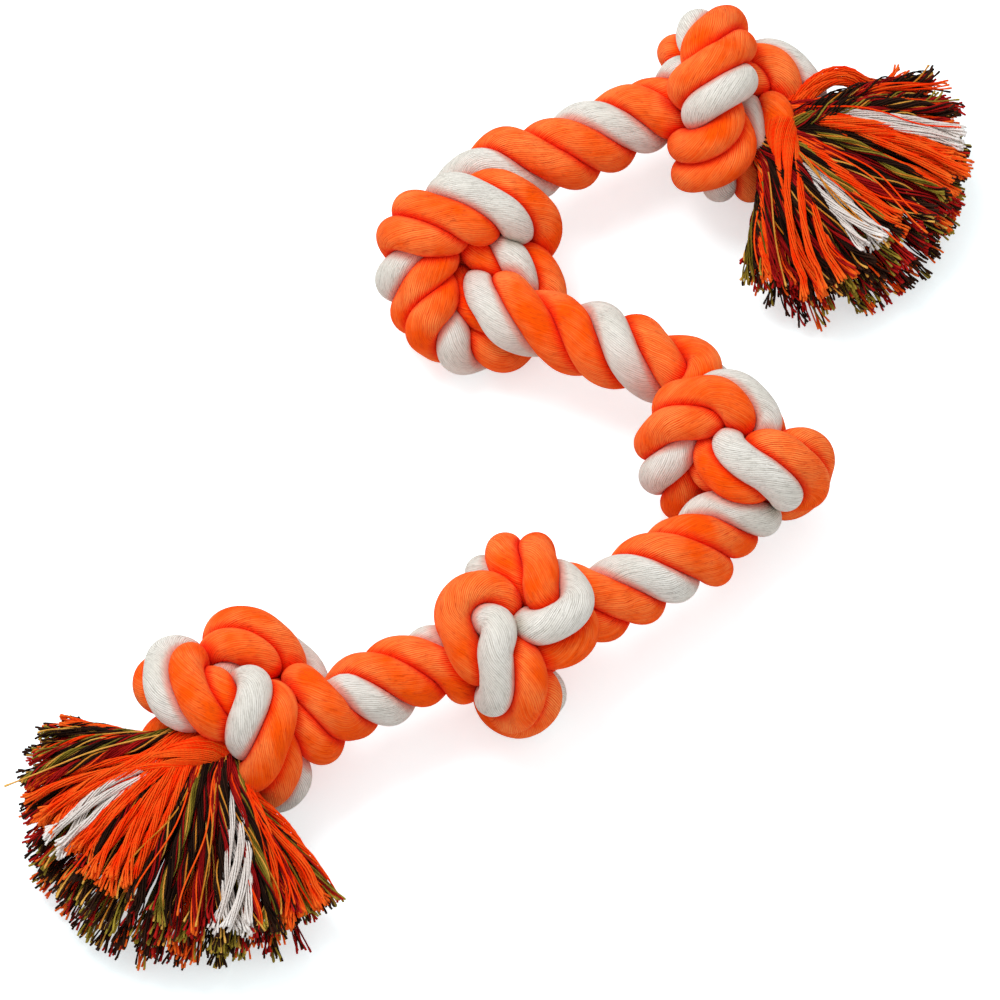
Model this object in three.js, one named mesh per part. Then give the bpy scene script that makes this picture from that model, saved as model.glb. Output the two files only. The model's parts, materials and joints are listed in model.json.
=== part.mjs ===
// A rope dog toy: three laid cotton strands tied in five overhand knots,
// with both ends combed out into tassels. Millimetres, +Z up, floor at z = 0.
import * as THREE from 'three';

// Driving dimensions
const ropeDiameter = 40;
const strandDiameter = 16;
const layLength = 64;
const strandClearance = 1.4;
const hingeClearance = 1.65;
const hingeSpacing = 18;
const knotHeight = 47;
const knotReach = 48;
const tasselReach = 52;
const leftTasselLength = 90;
const rightTasselLength = 82;
const lockRootDiameter = 6.6;
const lockTipWidth = 26;
const lockTipHeight = 10.4;
const lockRise = 12.4;
const layoutReach = 200;

// In a pulled knot the rope is squeezed: the line of the rope to this share of
// its width, and each strand at the core to this share of its own. The core and
// the skin begin and end at these shares of the knot's reach
const ropeSqueezeShare = 0.72;
const coreSqueezeShare = 0.66;
const coreShare = 0.3;
const skinShare = 0.85;

// The open knot before it is pulled: width and rise of the curve and spacing of
// its points in rope diameters, and how far its ends are pulled out
const openWidthShare = 0.9;
const openRiseShare = 0.42;
const openSpanShare = 2.05;
const openSteps = 400;
const spacingShare = 0.3;
const endReachShare = 3;

// Pulling goes on for so many rounds. A line may stretch by its strain limit,
// and softening moves a point by this share towards the middle of its neighbours
const pullRounds = 1400;
const pullStrain = 0.015;
const pullSoftenShare = 0.2;
const leadRounds = 500;
const leadSoftenShare = 0.15;
const snugRounds = 340;
const settleRounds = 120;
const snugStrain = 0.06;
const snugSoftenShare = 0.12;
const snugSpacingShare = 0.42;
const lengthSweeps = 6;
const contactSweeps = 4;
const shrinkShare = 0.999;
const pressShare = 0.2;

// Points count as touching within one share of a diameter, and those nearer
// along the line than the other share are neighbours, which don't touch
const touchShare = 1.25;
const neighbourShare = 1.35;

// The ends of a knot are its first and last shares, the core lies between
const tailShare = 0.16;
const coreStartShare = 0.3;

// Counts and spacings of the skins: sides and rings of a strand's tube, with how
// far a ring stands out of a bend, and sides and sections of a lock
const tubeSides = 6;
const slantRings = 3;
const fineStep = strandDiameter / 16;
const ringSpacing = strandDiameter * 0.7;
const chordDepth = strandDiameter / 27;
const bowShare = 1 / 8;
const lockSides = 6;
const lockSections = 6;

// The knots in order along the rope: where each one lies, in shares of the
// layout's reach, and how the tied loop is rolled and turned from its ends' line
const knots = [
  { placeShare: [-0.66, -0.605], roll: 270, yaw: -5 },
  { placeShare: [0.04, -0.4], roll: 0, yaw: 30 },
  { placeShare: [0.6, 0.13], roll: 0, yaw: 30 },
  { placeShare: [-0.065, 0.69], roll: 105, yaw: 30 },
  { placeShare: [0.6, 1.185], roll: 235, yaw: -25 },
];

// The free stretches between them: middle point, heading in degrees, and how far
// past the middle the white strand comes to the top, in shares of the lay length
const stretches = [
  { placeShare: [-0.295, -0.54], heading: 29, whiteTopShare: -0.328 },
  { placeShare: [0.38, -0.22], heading: 36, whiteTopShare: -0.156 },
  { placeShare: [0.27, 0.46], heading: 160, whiteTopShare: -0.078 },
  { placeShare: [0.21, 1.065], heading: 28, whiteTopShare: 0.234 },
];

// The two combed ends: heading and fan to either side in degrees, length, and
// the colour of each lock of yarns in rows, bottom row first
const tassels = [
  {
    heading: 240,
    clockwise: 93,
    counter: 83,
    length: leftTasselLength,
    rows: [
      ['dark', 'dark', 'dark'],
      ['orange', 'dark', 'dark', 'dark', 'orange'],
      ['dark', 'orange', 'orange', 'dark', 'orange'],
      ['white', 'orange', 'white'],
    ],
  },
  {
    heading: 325,
    clockwise: 76,
    counter: 76,
    length: rightTasselLength,
    rows: [
      ['dark', 'dark', 'dark'],
      ['dark', 'orange', 'dark', 'orange', 'dark'],
      ['orange', 'dark', 'dark', 'white', 'orange'],
      ['orange', 'white', 'orange'],
    ],
  },
];

// How wide each row of locks stands in the rope's end, and how wide it fans
const rowShares = [
  { rootShare: 0.42, fanShare: 0.72 },
  { rootShare: 0.84, fanShare: 1 },
  { rootShare: 0.84, fanShare: 0.86 },
  { rootShare: 0.42, fanShare: 0.5 },
];

const finish = {
  orange: { color: 0xf4571a, roughness: 0.9, metalness: 0 },
  white: { color: 0xe6e1da, roughness: 0.9, metalness: 0 },
  dark: { color: 0x2f2a1e, roughness: 0.9, metalness: 0 },
};
const strandNames = ['orange_a', 'orange_b', 'white'];

const radians = THREE.MathUtils.degToRad;
const strandRadius = strandDiameter / 2;
const layRadius = (ropeDiameter - strandDiameter) / 2;
const ballRadius = ropeDiameter / 2 + strandClearance;
const floorSink = strandDiameter / 10;
const up = new THREE.Vector3(0, 0, 1);
const fullTurn = 2 * Math.PI;

function placeOf({ placeShare: [x, y] }) {
  return new THREE.Vector3(x * layoutReach, y * layoutReach, knotHeight);
}

function headingVector(degrees) {
  return new THREE.Vector3(Math.cos(radians(degrees)), Math.sin(radians(degrees)), 0);
}

// Lines of points: length, even spacing and frames that don't twist
function lengthOf(line) {
  let total = 0;
  for (let i = 1; i < line.length; i += 1) {
    total += line[i].distanceTo(line[i - 1]);
  }
  return total;
}

function evenly(points, step) {
  const curve = new THREE.CatmullRomCurve3(points, false, 'centripetal');
  curve.arcLengthDivisions = 6 * points.length;
  return curve.getSpacedPoints(Math.max(3, Math.round(curve.getLength() / step)));
}

function tangentsOf(line) {
  return line.map((point, i) => {
    const before = line[Math.max(0, i - 1)];
    const after = line[Math.min(line.length - 1, i + 1)];
    return new THREE.Vector3().subVectors(after, before).normalize();
  });
}

function carryNormals(tangents, first) {
  const turn = new THREE.Quaternion();
  const normals = [first.clone()];
  for (let i = 1; i < tangents.length; i += 1) {
    turn.setFromUnitVectors(tangents[i - 1], tangents[i]);
    const normal = normals[i - 1].clone().applyQuaternion(turn);
    normals.push(normal.addScaledVector(tangents[i], -normal.dot(tangents[i])).normalize());
  }
  return normals;
}

// Pulling rope tight: the lines keep their length, soften their bends and
// never come closer than the sum of their radii
const between = new THREE.Vector3();

function holdLengths(line, rest, sweeps) {
  const last = line.length - 1;
  for (let sweep = 0; sweep < sweeps; sweep += 1) {
    for (let q = 0; q < last; q += 1) {
      const i = sweep % 2 === 0 ? q : last - 1 - q;
      const shares = line[i].free + line[i + 1].free;
      if (shares > 0) {
        between.subVectors(line[i + 1], line[i]);
        const length = between.length();
        between.multiplyScalar((length - rest) / length / shares);
        line[i].addScaledVector(between, line[i].free);
        line[i + 1].addScaledVector(between, -line[i + 1].free);
      }
    }
  }
}

function soften(line, share) {
  for (let i = 1; i < line.length - 1; i += 1) {
    between.addVectors(line[i - 1], line[i + 1]).multiplyScalar(1 / 2);
    line[i].lerp(between, share * line[i].free);
  }
}

function closePairs(lines, widest) {
  const points = lines.flat();
  const pairs = [];
  points.forEach((a, i) => {
    for (let j = i + 1; j < points.length; j += 1) {
      const b = points[j];
      const apart = a.line !== b.line || b.along - a.along > neighbourShare * widest;
      if (apart && a.distanceTo(b) < touchShare * widest) {
        pairs.push([a, b]);
      }
    }
  });
  return pairs;
}

function pushApart(pairs) {
  for (const [a, b] of pairs) {
    const shares = a.free + b.free;
    const least = a.radius + b.radius;
    between.subVectors(b, a);
    const length = between.length();
    if (length < least && shares > 0) {
      between.multiplyScalar((least - length) / length / shares);
      a.addScaledVector(between, -a.free);
      b.addScaledVector(between, b.free);
    }
  }
}

function asRope(points, line, radiusAt, freeAt) {
  let along = 0;
  return points.map((point, i) => {
    along += i > 0 ? point.distanceTo(points[i - 1]) : 0;
    const free = freeAt(point, i) ? 1 : 0;
    return Object.assign(point.clone(), { line, along, radius: radiusAt(point), free });
  });
}

// An open overhand knot, loosely tied, in rope diameters
function looseOverhand() {
  return Array.from({ length: openSteps + 1 }, (_, i) => {
    const t = openSpanShare * (2 * i / openSteps - 1);
    const x = openRiseShare * (t ** 5 - 10 * t);
    const y = openWidthShare * (t ** 3 - 3 * t);
    const z = openWidthShare * (4 * t ** 2 - t ** 4 - 2);
    return new THREE.Vector3(x, y, z);
  });
}

// The same knot after both ends have been pulled until it is tight
function pullTight() {
  let line = asRope(evenly(looseOverhand(), spacingShare), 0, () => 1 / 2, () => true);
  let pairs = [];
  for (let round = 0; round < pullRounds; round += 1) {
    const last = line.length - 1;
    const strain = lengthOf(line) / (spacingShare * last) - 1;
    for (const [point, side] of [[line[0], -1], [line[last], 1]]) {
      point.free = 0;
      if (strain < pullStrain) {
        between.set(side * (endReachShare + 1), 0, 0).sub(point).clampLength(0, spacingShare / 10);
        point.add(between);
      }
    }
    soften(line, pullSoftenShare);
    holdLengths(line, spacingShare, lengthSweeps);
    if (round % lengthSweeps === 0) {
      pairs = closePairs([line], 1);
    }
    pushApart(pairs);
    pushApart(pairs);
    line = line.filter((point) => Math.abs(point.x) < endReachShare + spacingShare);
  }
  return line;
}

// One knot in its place, its ends led to the two points where it is held
function placeKnot(tight, knot, holds) {
  const squeezed = ropeSqueezeShare * ropeDiameter;
  const centre = placeOf(knot);
  const chord = new THREE.Vector3().subVectors(holds[1].place, holds[0].place);
  const yaw = Math.atan2(chord.y, chord.x) + radians(knot.yaw);
  const turn = new THREE.Euler(radians(knot.roll), 0, yaw, 'ZYX');
  const points = tight.map((p) => p.clone().multiplyScalar(squeezed).applyEuler(turn).add(centre));
  const line = asRope(evenly(points, squeezed * spacingShare), 0, () => squeezed / 2, () => true);
  const last = line.length - 1;
  const ends = [0, last].map((index, side) => {
    const hold = holds[side];
    const inner = hold.place.clone().addScaledVector(hold.outward, -hold.straight);
    const start = line[index].clone().sub(centre);
    return { index, next: side === 0 ? 1 : last - 1, start, inner: inner.sub(centre), hold };
  });
  const rest = lengthOf(line) / last;
  const core = line.slice(Math.round(last * coreStartShare), Math.round(last * (1 - coreStartShare)));
  const drift = new THREE.Vector3();
  for (let round = 0; round < leadRounds; round += 1) {
    const share = Math.min(1, 3 / 2 * round / leadRounds);
    for (const { index, next, start, inner, hold } of ends) {
      const from = start.clone().normalize();
      const to = inner.clone().normalize();
      const arc = new THREE.Quaternion().setFromUnitVectors(from, to);
      const step = new THREE.Quaternion().slerp(arc, share);
      const far = THREE.MathUtils.lerp(start.length(), inner.length(), share);
      const heading = from.clone().applyQuaternion(step).lerp(hold.outward, share).normalize();
      line[index].free = 0;
      line[index].copy(from.multiplyScalar(far).applyQuaternion(step).add(centre));
      line[next].free = 0;
      line[next].copy(line[index]).addScaledVector(heading, -rest);
    }
    soften(line, leadSoftenShare);
    holdLengths(line, Math.min(rest, lengthOf(line) / last), lengthSweeps);
    const pairs = closePairs([line], squeezed);
    pushApart(pairs);
    pushApart(pairs);
    drift.set(0, 0, 0);
    core.forEach((p) => drift.addScaledVector(p, 1 / core.length));
    drift.sub(centre);
    line.forEach((p) => p.addScaledVector(drift, -p.free));
  }
  return [holds[0].place, ...line, holds[1].place].map((p) => p.clone());
}

// A strand is thinnest at the core of a knot and full in the free stretches
function squeezedRadius(point, centre) {
  const far = point.distanceTo(centre) / knotReach;
  const share = THREE.MathUtils.mapLinear(far, coreShare, skinShare, coreSqueezeShare, 1);
  return strandRadius * THREE.MathUtils.clamp(share, coreSqueezeShare, 1);
}

// Three strands laid round the line of a knot, then pulled snug. The white
// strand meets each free stretch at the angle that it has there
function layKnot(line, knot, holds) {
  const fine = evenly(line, strandDiameter / 10);
  const tangents = tangentsOf(fine);
  const normals = carryNormals(tangents, up);
  const total = lengthOf(fine);
  const last = fine.length - 1;
  const across = new THREE.Vector3().crossVectors(tangents[last], up);
  const carried = Math.atan2(normals[last].dot(across), normals[last].z);
  const turned = carried + fullTurn * total / layLength;
  const [start, end] = holds.map((hold) => hold.whiteAngle);
  const firstAngle = start ?? end - turned;
  const excess = (end ?? firstAngle + turned) - firstAngle - turned;
  const gain = THREE.MathUtils.euclideanModulo(excess / fullTurn + 1 / 2, 1) - 1 / 2;
  const strands = [[], [], []];
  const side = new THREE.Vector3();
  let run = 0;
  fine.forEach((point, i) => {
    run += i > 0 ? point.distanceTo(fine[i - 1]) : 0;
    side.crossVectors(tangents[i], normals[i]);
    strands.forEach((strand, s) => {
      const turns = run / layLength + gain * run / total + (s - 2) / strands.length;
      const angle = firstAngle + fullTurn * turns;
      strand.push(point.clone()
        .addScaledVector(normals[i], layRadius * Math.cos(angle))
        .addScaledVector(side, layRadius * Math.sin(angle)));
    });
  });
  return pullSnug(strands, knot, holds);
}

function pullSnug(strands, knot, holds) {
  const centre = placeOf(knot);
  const spacing = strandDiameter * snugSpacingShare;
  const ropes = asRopes(strands, spacing, centre, holds);
  const rest = ropes.map((rope) => lengthOf(rope) / (rope.length - 1));
  let pairs = [];
  for (let round = 0; round < snugRounds; round += 1) {
    pairs = round % lengthSweeps === 0 ? closePairs(ropes, strandDiameter) : pairs;
    ropes.forEach((rope, s) => {
      const strain = lengthOf(rope) / (rest[s] * (rope.length - 1)) - 1;
      rest[s] *= strain < snugStrain ? shrinkShare : 1;
      soften(rope, snugSoftenShare);
      holdLengths(rope, rest[s], contactSweeps);
      pressRound(rope, centre);
    });
    keepClear(ropes, pairs, centre);
  }
  return settle(asRopes(ropes, spacing / 2, centre, holds), centre);
}

// The last rounds, on closer points: the strands only part where they touch
function settle(ropes, centre) {
  let pairs = [];
  for (let round = 0; round < settleRounds; round += 1) {
    pairs = round % lengthSweeps === 0 ? closePairs(ropes, strandDiameter) : pairs;
    ropes.forEach((rope) => soften(rope, snugSoftenShare * (1 - round / settleRounds)));
    keepClear(ropes, pairs, centre);
  }
  return ropes;
}

function asRopes(strands, spacing, centre, holds) {
  const held = (point, hold) => {
    const ahead = between.subVectors(point, hold.place).dot(hold.outward);
    return ahead > -hold.straight;
  };
  return strands.map((strand, s) => {
    const points = evenly(strand, spacing);
    const first = points.findIndex((point) => !held(point, holds[0]));
    const last = points.findLastIndex((point) => !held(point, holds[1]));
    const radiusAt = (point) => squeezedRadius(point, centre);
    return asRope(points, s, radiusAt, (point, i) => i >= first && i <= last);
  });
}

function keepClear(ropes, pairs, centre) {
  const points = ropes.flat();
  points.forEach((point) => Object.assign(point, { radius: squeezedRadius(point, centre) }));
  for (let sweep = 0; sweep < contactSweeps; sweep += 1) {
    pushApart(pairs);
  }
  layDown(points);
}

// The knot lies on the floor, its lowest strand sunk by the depth of its flat
function layDown(points) {
  const low = Math.min(...points.map((point) => point.z - point.radius + strandClearance / 2));
  const step = THREE.MathUtils.clamp(-floorSink - low, -floorSink / 4, floorSink / 4);
  points.forEach((point) => {
    point.z += step * point.free;
  });
}

// A pulled knot is pressed round: what stands out of it is eased inward
function pressRound(rope, centre) {
  const total = rope[rope.length - 1].along;
  for (const point of rope) {
    const share = point.along / total;
    const reach = knotReach - point.radius;
    between.subVectors(point, centre);
    if (share > tailShare && share < 1 - tailShare && between.length() > reach) {
      point.addScaledVector(between, pressShare * point.free * (reach / between.length() - 1));
    }
  }
}

function holdsOf(index) {
  const centre = placeOf(knots[index]);
  const straight = hingeSpacing / 2 + ballRadius;
  const atStretch = (stretch, way) => ({
    place: placeOf(stretch),
    outward: headingVector(stretch.heading).multiplyScalar(way),
    whiteAngle: -fullTurn * stretch.whiteTopShare,
    straight,
  });
  const atTassel = (tassel) => {
    const outward = headingVector(tassel.heading);
    const place = centre.clone().addScaledVector(outward, tasselReach);
    return { place, outward, straight: ballRadius };
  };
  const before = index === 0 ? atTassel(tassels[0]) : atStretch(stretches[index - 1], -1);
  const after = index === knots.length - 1 ? atTassel(tassels[1]) : atStretch(stretches[index], 1);
  return [before, after];
}

const tight = pullTight();
const laid = knots.map((knot, index) => {
  const holds = holdsOf(index);
  const line = placeKnot(tight, knot, holds);
  return { strands: layKnot(line, knot, holds), holds };
});

// The pivots where a knot's two ends hinge to what follows
const pivots = laid.map(({ holds }, index) => holds.map((hold, side) => {
  const atTassel = side === 0 ? index === 0 : index === knots.length - 1;
  const back = atTassel ? 0 : hingeSpacing / 2;
  return hold.place.clone().addScaledVector(hold.outward, -back);
}));

// A closed tube along a strand, from ball to ball. Its ends follow the balls,
// and a side of it, not a corner, is turned down where it meets the floor
function strandTube(points, radiusAt, cuts) {
  const fine = evenly(points, fineStep);
  const tangents = tangentsOf(fine);
  const normals = carryNormals(tangents, anyNormal(tangents[0]));
  const lowest = fine.reduce((best, p, i) => (p.z < fine[best].z ? i : best), 0);
  const roll = facetDown(tangents[lowest], normals[lowest]);
  const lowOf = (at) => THREE.MathUtils.clamp(Math.floor(at), 0, fine.length - 2);
  const centreAt = (at) => fine[lowOf(at)].clone().lerp(fine[lowOf(at) + 1], at - lowOf(at));
  const corner = (at, k) => {
    const low = lowOf(at);
    const centre = centreAt(at);
    const normal = normals[low].clone().lerp(normals[low + 1], at - low);
    const side = new THREE.Vector3().crossVectors(tangents[low], normal);
    const radius = radiusAt(centre) - strandClearance / 2;
    const angle = roll + fullTurn * k / tubeSides;
    return centre
      .addScaledVector(normal, radius * Math.cos(angle))
      .addScaledVector(side, radius * Math.sin(angle));
  };
  const ends = cuts.map(({ centre, radius }, end) => {
    const beyond = (point) => point.distanceTo(centre) > radius;
    const order = end === 0 ? fine.keys() : [...fine.keys()].reverse();
    const outmost = end === 0 ? 0 : fine.length - 1;
    const middle = [...order].find((i) => beyond(fine[i]) !== beyond(fine[outmost]));
    const inward = end === 0 ? 1 : -1;
    const reach = ropeDiameter / 2 / fineStep;
    const slants = Array.from({ length: tubeSides }, (_, k) => {
      const was = beyond(corner(middle + inward * reach, k));
      let slant = inward * reach;
      while (beyond(corner(middle + slant, k)) === was && slant * inward > -reach) {
        slant -= inward / 4;
      }
      return slant;
    });
    return { middle, slants, centre, radius };
  });
  const [first, last] = ends;
  const tally = ringTally(tangents);
  const start = tally[first.middle];
  const count = Math.max(2 * slantRings, Math.round(tally[last.middle] - start));
  const spacing = (tally[last.middle] - start) / count;
  const placeAt = (ring) => {
    const sought = start + ring * spacing;
    const next = THREE.MathUtils.clamp(tally.findIndex((t) => t > sought), 1, fine.length - 1);
    return next - (tally[next] - sought) / (tally[next] - tally[next - 1]);
  };
  const lowRing = (tally[lowest] - start) / spacing;
  const meetsFloor = fine[lowest].z < strandRadius && lowRing > slantRings && lowRing < count - slantRings;
  const shift = meetsFloor ? lowRing - Math.floor(lowRing) - 1 / 2 : 0;
  const shell = Array.from({ length: count + 1 }, (_, i) => {
    const moved = i === 0 || i === count ? i : i + shift;
    const atFirst = Math.max(0, 1 - i / Math.min(slantRings, count));
    const atLast = Math.max(0, 1 - (count - i) / Math.min(slantRings, count));
    const at = placeAt(moved);
    const chord = centreAt(placeAt(moved - 1)).lerp(centreAt(placeAt(moved + 1)), 1 / 2);
    const bow = centreAt(at).sub(chord).multiplyScalar(bowShare * (1 - Math.max(atFirst, atLast)));
    return Array.from({ length: tubeSides }, (_, k) => {
      const slant = atFirst * first.slants[k] + atLast * last.slants[k];
      return corner(at + slant, k).add(bow);
    });
  });
  const caps = ends.map(({ middle, centre, radius }, end) => {
    const rim = shell[end === 0 ? 0 : count];
    rim.forEach((point) => ontoBall(point, centre, radius));
    const tip = ontoBall(fine[middle].clone(), centre, radius);
    const halfway = rim.map((point) => ontoBall(point.clone().lerp(tip, 1 / 2), centre, radius));
    return [[tip], halfway];
  });
  const rows = [caps[0][0], caps[0][1], ...shell, caps[1][1], caps[1][0]];
  rows.flat().forEach((point) => point.setZ(point.z < floorSink / 2 ? 0 : point.z));
  return skinOf(rows);
}

// How many rings a strand has had at each of its fine points: they stand closer
// where it bends, so that no straight side leaves the bend by more than the depth
function ringTally(tangents) {
  const tally = [0];
  for (let i = 1; i < tangents.length; i += 1) {
    const bend = tangents[i].angleTo(tangents[i - 1]) / fineStep;
    const spacing = Math.min(ringSpacing, Math.sqrt(8 * chordDepth / bend));
    tally.push(tally[i - 1] + fineStep / spacing);
  }
  return tally;
}

function anyNormal(tangent) {
  const level = Math.abs(tangent.z) < Math.SQRT1_2;
  const pick = level ? up.clone() : new THREE.Vector3(1, 0, 0);
  return pick.addScaledVector(tangent, -pick.dot(tangent)).normalize();
}

// The roll that turns a side of the tube, not a corner, to the floor
function facetDown(tangent, normal) {
  const side = new THREE.Vector3().crossVectors(tangent, normal);
  return Math.atan2(-side.z, -normal.z) + Math.PI / tubeSides;
}

function ontoBall(point, centre, radius) {
  return point.sub(centre).setLength(radius).add(centre);
}

// Rows of corners joined to one closed skin, a single corner closing each end
function skinOf(rows) {
  const corners = rows.flat();
  const starts = [];
  let count = 0;
  for (const row of rows) {
    starts.push(count);
    count += row.length;
  }
  const faces = [];
  for (let r = 1; r < rows.length; r += 1) {
    const sides = Math.max(rows[r - 1].length, rows[r].length);
    for (let k = 0; k < sides; k += 1) {
      const next = (k + 1) % sides;
      const [a, b] = rows[r - 1].length === 1 ? [0, 0] : [k, next];
      const [c, d] = rows[r].length === 1 ? [0, 0] : [k, next];
      if (a !== b) {
        faces.push(starts[r - 1] + a, starts[r - 1] + b, starts[r] + c);
      }
      if (c !== d) {
        faces.push(starts[r - 1] + b, starts[r] + d, starts[r] + c);
      }
    }
  }
  const geometry = new THREE.BufferGeometry();
  const places = corners.flatMap((corner) => corner.toArray());
  geometry.setAttribute('position', new THREE.Float32BufferAttribute(places, 3));
  geometry.setIndex(faces);
  geometry.computeVertexNormals();
  return geometry;
}

// One lock of yarns: from its place in the rope's end it bends to its heading
// and spreads into a flat brush
function lockSkin(pivot, tassel, row, place) {
  const { rootShare, fanShare } = rowShares[row];
  const share = 2 * place / (tassel.rows[row].length - 1) - 1;
  const outward = headingVector(tassel.heading);
  const across = headingVector(tassel.heading + 90);
  const fan = share > 0 ? tassel.counter : tassel.clockwise;
  const heading = headingVector(tassel.heading + share * fanShare * fan);
  const middleRow = (rowShares.length - 1) / 2;
  const rise = (row - middleRow) * (lockRootDiameter + strandClearance);
  const spacing = share * rootShare * (ropeDiameter / 2 - lockRootDiameter / 2 + strandClearance);
  const root = pivot.clone().addScaledVector(up, rise).addScaledVector(across, spacing);
  const tip = pivot.clone().addScaledVector(heading, tassel.length);
  tip.z = lockTipHeight / 2 + row * lockRise;
  const lead = root.clone().addScaledVector(outward, ballRadius);
  const bend = pivot.clone().addScaledVector(heading, tassel.length / 2);
  bend.z = THREE.MathUtils.lerp(root.z, tip.z, 1 / 2);
  const curve = new THREE.CubicBezierCurve3(root, lead, bend, tip);
  const rows = [];
  for (let i = 0; i <= lockSections; i += 1) {
    const u = i / lockSections;
    const centre = curve.getPoint(u);
    const tangent = curve.getTangent(u);
    const wide = new THREE.Vector3().crossVectors(up, tangent).normalize();
    const high = new THREE.Vector3().crossVectors(tangent, wide);
    const width = THREE.MathUtils.lerp(lockRootDiameter, lockTipWidth, u * u) / 2;
    const height = THREE.MathUtils.lerp(lockRootDiameter, lockTipHeight, u) / 2;
    rows.push(Array.from({ length: lockSides }, (_, k) => {
      const angle = fullTurn * (k + 1 / 2) / lockSides;
      return centre.clone()
        .addScaledVector(wide, width * Math.cos(angle))
        .addScaledVector(high, height * Math.sin(angle));
    }));
  }
  const onCap = (point) => {
    const sideways = point.clone().sub(pivot);
    sideways.addScaledVector(outward, -sideways.dot(outward));
    const deep = Math.sqrt(ballRadius ** 2 - sideways.lengthSq());
    return pivot.clone().add(sideways).addScaledVector(outward, -deep);
  };
  return skinOf([[onCap(root)], rows[0].map(onCap), ...rows, [tip]]);
}

function addPiece(group, name, geometry, colour) {
  const mesh = new THREE.Mesh(geometry, new THREE.MeshStandardMaterial(finish[colour]));
  mesh.name = name;
  group.add(mesh);
}

function colourOf(strandName) {
  return strandName.split('_')[0];
}

const toy = new THREE.Group();
laid.forEach(({ strands }, index) => {
  const centre = placeOf(knots[index]);
  const cuts = pivots[index].map((pivot) => ({ centre: pivot, radius: ballRadius + hingeClearance }));
  strandNames.forEach((name, s) => {
    const tube = strandTube(strands[s], (point) => squeezedRadius(point, centre), cuts);
    addPiece(toy, `knot_${index + 1}_strand_${name}`, tube, colourOf(name));
  });
});
stretches.forEach((stretch, index) => {
  const [before, after] = [laid[index], laid[index + 1]];
  const cuts = [pivots[index][1], pivots[index + 1][0]].map((centre) => ({ centre, radius: ballRadius }));
  const middle = placeOf(stretch);
  const near = (point) => point.distanceTo(middle) < hingeSpacing / 2 + ballRadius + strandDiameter;
  strandNames.forEach((name, s) => {
    const points = [...before.strands[s].slice(0, -1).filter(near), ...after.strands[s].filter(near)];
    const tube = strandTube(points, () => strandRadius, cuts);
    addPiece(toy, `stretch_${index + 1}_strand_${name}`, tube, colourOf(name));
  });
});
tassels.forEach((tassel, index) => {
  const pivot = index === 0 ? pivots[0][0] : pivots[knots.length - 1][1];
  let count = 0;
  tassel.rows.forEach((row, r) => row.forEach((colour, place) => {
    count += 1;
    const name = `tassel_${index + 1}_lock_${String(count).padStart(2, '0')}`;
    addPiece(toy, name, lockSkin(pivot, tassel, r, place), colour);
  }));
});

// The origin is on the floor, under the middle of the toy
const box = new THREE.Box3().setFromObject(toy);
const middle = box.getCenter(new THREE.Vector3());
toy.position.set(-middle.x, -middle.y, 0);
toy.updateMatrixWorld();

// The least gap between the strands of a knot, or of a strand to itself
function leastGap(strands) {
  const gaps = closePairs(strands, strandDiameter).map(([a, b]) => a.distanceTo(b) - a.radius - b.radius);
  return Math.min(...gaps) + strandClearance;
}

laid.forEach(({ strands }, index) => {
  console.log(`knot ${index + 1}: least gap ${leastGap(strands).toFixed(2)} mm`);
});

export default toy;
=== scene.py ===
import json
import math
import random

import bpy
import numpy as np
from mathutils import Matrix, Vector

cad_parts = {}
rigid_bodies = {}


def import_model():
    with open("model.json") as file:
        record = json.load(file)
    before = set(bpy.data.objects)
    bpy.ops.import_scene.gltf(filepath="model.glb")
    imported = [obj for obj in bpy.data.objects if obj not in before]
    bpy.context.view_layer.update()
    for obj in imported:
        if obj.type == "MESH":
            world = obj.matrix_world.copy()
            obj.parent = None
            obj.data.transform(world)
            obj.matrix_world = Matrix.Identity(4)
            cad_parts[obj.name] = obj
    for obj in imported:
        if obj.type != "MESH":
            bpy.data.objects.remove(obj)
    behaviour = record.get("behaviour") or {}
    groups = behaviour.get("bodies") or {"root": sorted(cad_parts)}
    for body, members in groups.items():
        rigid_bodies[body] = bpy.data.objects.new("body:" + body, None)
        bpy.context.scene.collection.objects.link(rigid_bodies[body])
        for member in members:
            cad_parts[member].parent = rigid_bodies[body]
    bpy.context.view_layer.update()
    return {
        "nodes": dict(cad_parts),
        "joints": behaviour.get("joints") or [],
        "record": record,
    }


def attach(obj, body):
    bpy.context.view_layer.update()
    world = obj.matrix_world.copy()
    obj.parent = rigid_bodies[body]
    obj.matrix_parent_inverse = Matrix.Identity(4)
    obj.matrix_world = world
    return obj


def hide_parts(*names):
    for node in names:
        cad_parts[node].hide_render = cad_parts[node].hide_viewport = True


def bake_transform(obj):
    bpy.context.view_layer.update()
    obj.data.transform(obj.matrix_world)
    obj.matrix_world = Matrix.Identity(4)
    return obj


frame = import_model()

# All sizes are in metres
MM = 0.001
TINY = 1e-6
STRANDS = ("orange_a", "orange_b", "white")
KNOTS = 5
UP = np.array([0.0, 0.0, 1.0])

# A strand, and the spacing and sides of the rings of its skin
STRAND_RADIUS = 9.2 * MM
RING_STEP = 1.6 * MM
RING_SIDES = 36
# Its ends reach this far past the solids, and narrow by a share over a length
END_REACH = 10 * MM
END_TAPER = 0.5
TAPER_LENGTH = 22 * MM
TAPER_POWER = 1.5
# Its lumps: waves to the metre and turns round, and their height
LUMPS = ((310, 1), (190, -2), (437, 3), (251, 2))
LUMP_SHARE = 0.007
# Strands press on each other where their lines come this near, but not on their
# own next turns; each skin then stops short of the middle between them
NEIGHBOUR_REACH = 21 * MM
SAME_STRAND = 26 * MM
TOUCH_GAP = 0.05 * MM
LEAST_FACING = 0.05
# Inside a bend a skin keeps to this share of the way to the bend's centre
BEND_SHARE = 0.9
LEAST_TOWARD = 1e-3
NO_LIMIT = 1.0
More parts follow.
